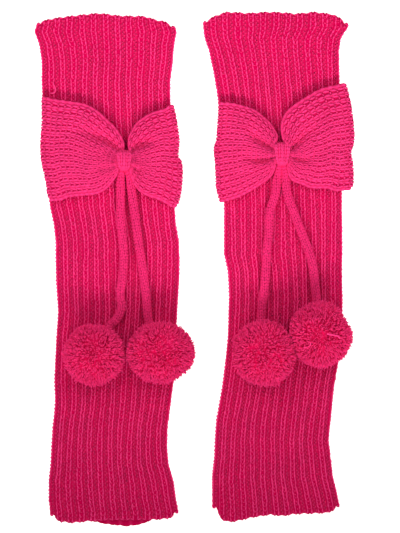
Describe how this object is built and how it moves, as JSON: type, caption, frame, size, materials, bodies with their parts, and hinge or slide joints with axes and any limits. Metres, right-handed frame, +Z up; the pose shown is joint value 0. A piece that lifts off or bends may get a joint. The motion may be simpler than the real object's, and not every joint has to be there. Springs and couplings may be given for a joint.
{
  "type": "pair of knitted leg warmers",
  "caption": "Pair of long ribbed knit leg warmers laid flat, each with a looped knit bow, a wrapped knot and two ties ending in yarn pompoms.",
  "frame": {"origin": "centre of the pair's bounding box in plan, on the surface that the pair lies on", "axes": "+X from the left leg warmer to the right one as seen from above, +Y along the legs towards the hem nearest the bows, +Z up from the surface"},
  "size_m": [0.2557, 0.4104, 0.049],
  "materials": {
    "rib_knit": "matt chunky acrylic yarn in 1 by 1 rib, slightly fuzzy",
    "bow_knit": "matt acrylic yarn in plain knit turned sideways",
    "knot_knit": "matt acrylic yarn in plain knit, pulled tight",
    "tie_yarn": "soft knitted cord with a brushed, fuzzy face",
    "pompom_yarn": "cut acrylic yarn, fluffy and matt"
  },
  "bodies": {
    "root": {"left_leg": "rib_knit", "right_leg": "rib_knit", "left_bow": "bow_knit", "right_bow": "bow_knit", "left_knot": "knot_knit", "right_knot": "knot_knit", "left_tie_outer": "tie_yarn", "left_tie_inner": "tie_yarn", "right_tie_inner": "tie_yarn", "right_tie_outer": "tie_yarn", "left_pompom_outer": "pompom_yarn", "left_pompom_inner": "pompom_yarn", "right_pompom_inner": "pompom_yarn", "right_pompom_outer": "pompom_yarn"}
  },
  "joints": []
}
